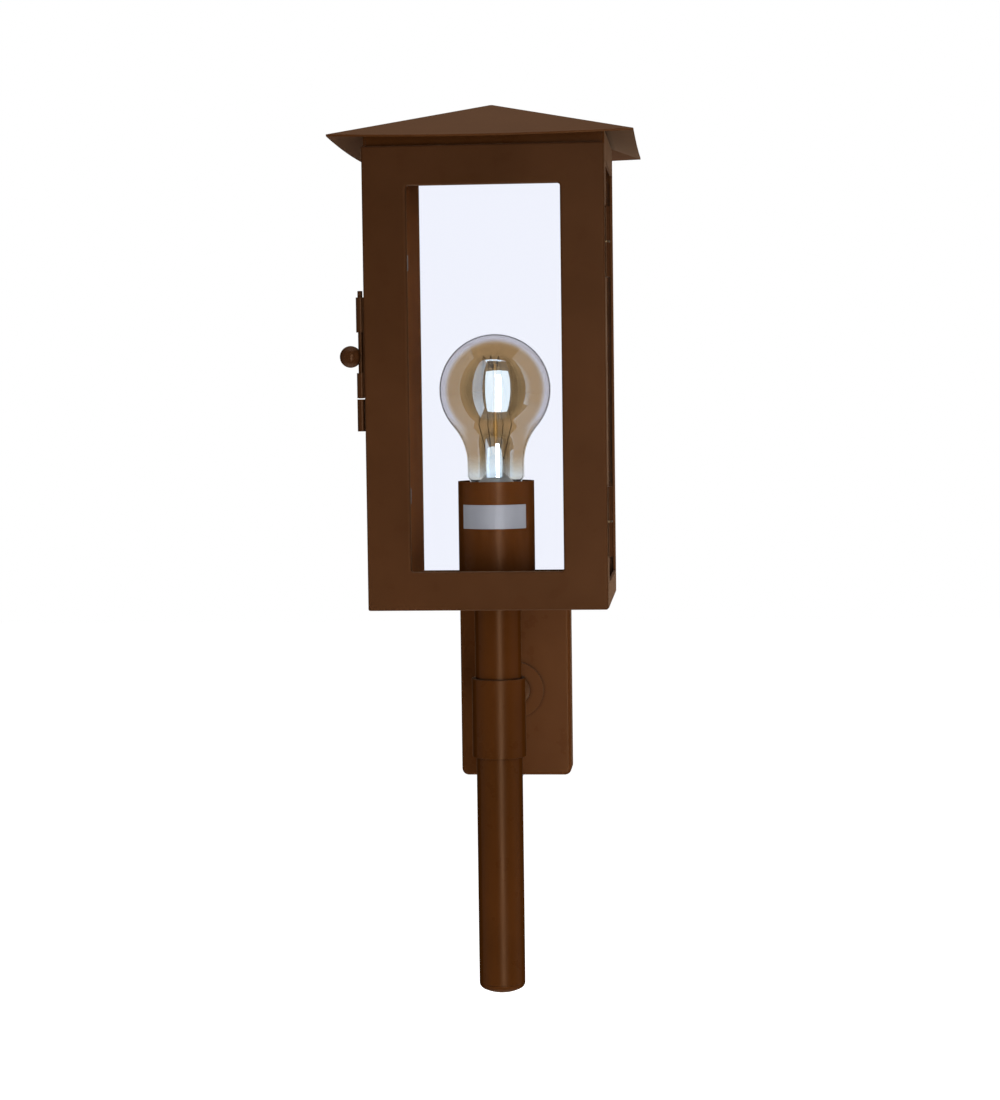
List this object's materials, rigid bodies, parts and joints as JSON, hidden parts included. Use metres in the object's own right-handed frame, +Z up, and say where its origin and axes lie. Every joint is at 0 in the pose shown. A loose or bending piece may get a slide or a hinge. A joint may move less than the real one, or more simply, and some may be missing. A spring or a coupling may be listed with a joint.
{
  "type": "wall lantern",
  "caption": "Outdoor wall lantern: square sheet-steel box with a pyramid roof and a hinged glass door, on a round pole that an arm holds to a rectangular wall canopy.",
  "frame": {"origin": "middle of the wall screw pattern on the wall plane, at the arm's axis", "axes": "+Z up along the pole, +Y into the wall, so the lantern stands in front of the wall at negative Y; +X to the viewer's right"},
  "size_m": [0.155, 0.2175, 0.4792],
  "materials": {
    "brown_coat": "satin dark brown powder coat",
    "zinc_steel": "zinc plated",
    "brass": "plain",
    "clear_glass": "clear float glass",
    "amber_glass": "clear, amber tinted",
    "stem_glass": "clear",
    "cap_metal": "bright",
    "black_insulator": "vitrite, gloss black",
    "tungsten": "drawn wire",
    "porcelain": "glazed white porcelain",
    "ivory_plastic": "moulded",
    "cable_sheath": "round rubber sheath"
  },
  "bodies": {
    "lantern": {"wall_canopy": "brown_coat", "arm_flange": "brown_coat", "arm_tube": "brown_coat", "pole_sleeve": "brown_coat", "pole_tube": "brown_coat", "pole_end_cap": "brown_coat", "floor_pan": "brown_coat", "left_wall": "brown_coat", "right_wall": "brown_coat", "back_wall": "brown_coat", "front_header": "brown_coat", "roof": "brown_coat", "hinge_wall_knuckles": "brown_coat", "latch_keeper": "brown_coat", "lampholder_cover": "brown_coat", "wall_strap": "zinc_steel", "canopy_screws": "zinc_steel", "arm_locknut": "zinc_steel", "sleeve_set_screw": "zinc_steel", "pole_plug": "zinc_steel", "threaded_nipple": "zinc_steel", "nipple_nut": "zinc_steel", "pane_top_clips": "zinc_steel", "pane_foot_clips": "zinc_steel", "hinge_pins": "zinc_steel", "hinge_washers": "brass", "lampholder_shell": "brass", "lampholder_contact": "brass", "left_glass": "clear_glass", "right_glass": "clear_glass", "back_glass": "clear_glass", "lampholder_body": "porcelain", "terminal_block": "ivory_plastic", "inner_cable": "cable_sheath"},
    "door": {"door_frame": "brown_coat", "door_glass": "clear_glass", "door_glass_clips": "zinc_steel", "hinge_door_knuckles": "brown_coat", "latch_guides": "brown_coat"},
    "latch": {"latch_pin": "brown_coat", "latch_knob": "brown_coat"},
    "lamp_foot": {"lamp_contact": "cap_metal"},
    "lamp": {"lamp_envelope": "amber_glass", "lamp_cap": "cap_metal", "lamp_insulator": "black_insulator", "lamp_stem": "stem_glass", "lamp_support_wires": "tungsten", "lamp_filament": "tungsten"}
  },
  "joints": [
    {"name": "door_swing", "type": "hinge", "parent": "lantern", "child": "door", "pos_m": [0.0624, -0.19375, 0.18], "axis": [0, 0, 1], "range_deg": [0, 165]},
    {"name": "latch_slide", "type": "slide", "parent": "door", "child": "latch", "axis": [0, 0, 1], "range_m": [-0.0035, 0.004]},
    {"name": "lamp_lift", "type": "slide", "parent": "lantern", "child": "lamp_foot", "axis": [0, 0, 1], "range_m": [0, 0.0182]},
    {"name": "lamp_turn", "type": "hinge", "parent": "lamp_foot", "child": "lamp", "pos_m": [0, -0.14, 0.12], "axis": [0, 0, 1], "range_deg": [0, 1800]}
  ],
  "couplings": [
    {"joint": "lamp_lift", "follows": "lamp_turn", "m_per_rad": 0.00057751}
  ]
}
